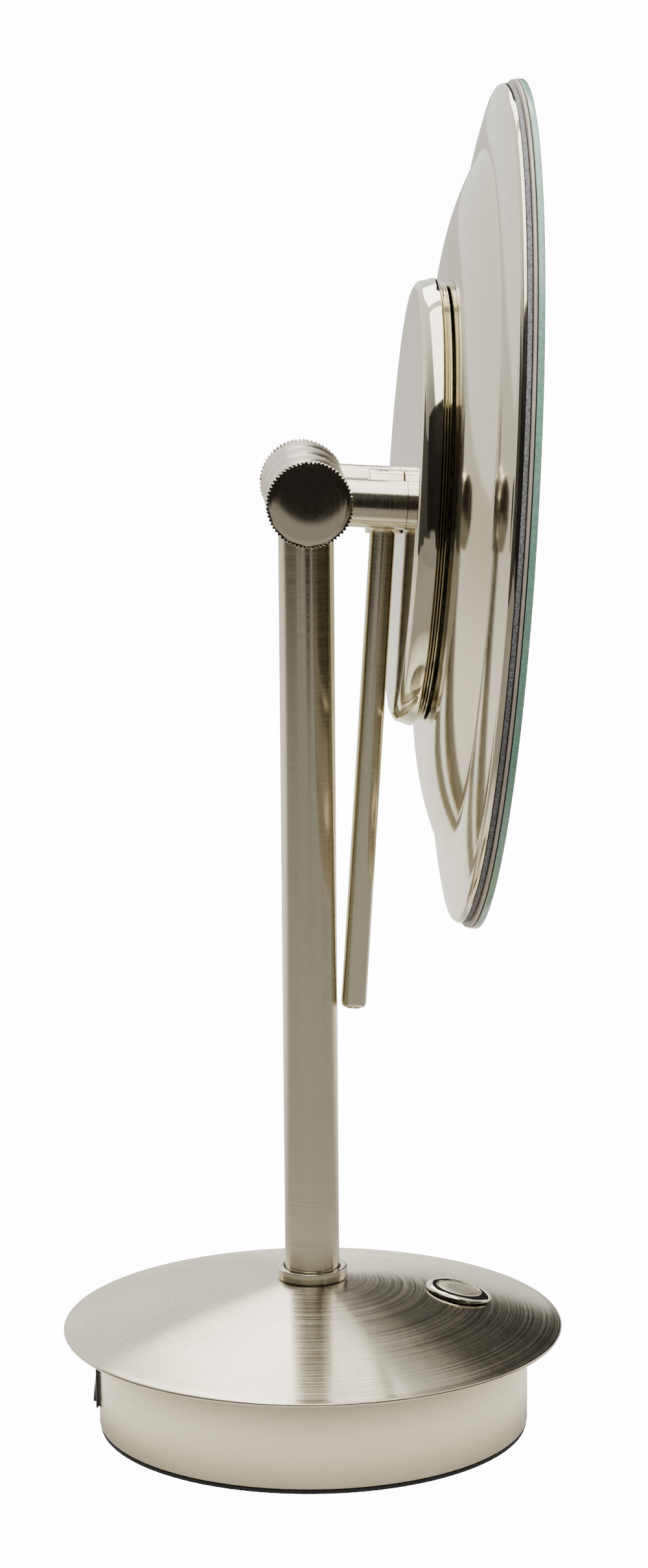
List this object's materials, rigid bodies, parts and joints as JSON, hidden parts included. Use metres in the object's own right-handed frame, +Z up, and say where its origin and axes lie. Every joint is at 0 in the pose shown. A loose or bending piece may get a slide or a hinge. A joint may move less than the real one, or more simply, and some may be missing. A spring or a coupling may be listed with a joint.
{
  "type": "shaving mirror",
  "caption": "Lit round shaving mirror with a brushed nickel shell, tilting on a knurled pivot above a weighted pedestal base.",
  "frame": {"origin": "centre of the base's underside, on the post's axis", "axes": "+Z up along the post, -Y the way the glass faces, +X along the pivot towards the right-hand knob"},
  "size_m": [0.241, 0.1476, 0.3921],
  "materials": {
    "brushed_nickel": "brushed",
    "satin_nickel": "satin",
    "polished_nickel": "polished",
    "zinc_steel": "zinc plated",
    "ballast_iron": "rough cast",
    "black_rubber": "matte",
    "black_plastic": "satin",
    "white_plastic": "frosted",
    "white_board": "white solder mask",
    "grey_foam": "speckled foam",
    "taupe_plate": "painted",
    "circuit_board": "solder mask",
    "battery_sleeve": "printed sleeve, plain",
    "mirror_glass": "silvered, greenish edge"
  },
  "bodies": {
    "base": {"battery_door": "black_plastic", "foot_pad": "black_rubber", "bottom_plate": "zinc_steel", "base_drum": "satin_nickel", "base_dome": "brushed_nickel", "ballast_ring": "ballast_iron", "tie_screw_1": "zinc_steel", "tie_screw_2": "zinc_steel", "tie_screw_3": "zinc_steel", "tie_screw_4": "zinc_steel", "battery_tray": "black_plastic", "battery_cell_1": "battery_sleeve", "battery_cell_2": "battery_sleeve", "battery_cell_3": "battery_sleeve", "battery_cell_4": "battery_sleeve", "driver_board": "circuit_board", "button_bezel": "polished_nickel", "button_spring": "zinc_steel", "button_switch": "black_plastic", "button_board": "circuit_board", "switch_frame": "black_plastic", "post_tube": "satin_nickel", "post_collar": "polished_nickel", "post_plug": "zinc_steel", "dome_stiffener": "zinc_steel", "stem_washer": "zinc_steel", "stem_nut": "zinc_steel", "post_stem": "zinc_steel", "pivot_barrel": "brushed_nickel", "pivot_axle": "zinc_steel", "left_friction_washer": "black_plastic", "right_friction_washer": "black_plastic"},
    "head": {"left_arm": "brushed_nickel", "right_arm": "brushed_nickel", "handle_stub": "brushed_nickel", "handle_rod": "satin_nickel", "pivot_housing": "polished_nickel", "left_arm_screw": "zinc_steel", "right_arm_screw": "zinc_steel", "stub_screw": "zinc_steel", "mirror_shell": "brushed_nickel", "rim_gasket": "grey_foam", "backing_plate": "taupe_plate", "mirror_glass": "mirror_glass", "light_diffuser": "white_plastic", "led_board": "white_board", "plate_spacer_1": "zinc_steel", "plate_spacer_2": "zinc_steel", "plate_spacer_3": "zinc_steel", "plate_spacer_4": "zinc_steel"},
    "left_knob": {"left_knob": "brushed_nickel"},
    "right_knob": {"right_knob": "brushed_nickel"},
    "push_button": {"push_button": "brushed_nickel"},
    "switch_rocker": {"switch_rocker": "black_plastic"}
  },
  "joints": [
    {"name": "head_tilt", "type": "hinge", "parent": "base", "child": "head", "pos_m": [0, 0, 0.2764], "axis": [-1, 0, 0], "range_deg": [0, 80]},
    {"name": "left_knob_turn", "type": "hinge", "parent": "base", "child": "left_knob", "pos_m": [0, 0, 0.2764], "axis": [-1, 0, 0], "continuous": true},
    {"name": "right_knob_turn", "type": "hinge", "parent": "base", "child": "right_knob", "pos_m": [0, 0, 0.2764], "axis": [1, 0, 0], "continuous": true},
    {"name": "push_button_press", "type": "slide", "parent": "base", "child": "push_button", "axis": [0, 0.22, -0.9755], "range_m": [0, 0.001], "stiffness_N_per_m": 800, "springref_m": -0.0015},
    {"name": "switch_rock", "type": "hinge", "parent": "base", "child": "switch_rocker", "pos_m": [0, 0.06155, 0.0144], "axis": [-1, 0, 0], "range_deg": [0, 8]}
  ]
}
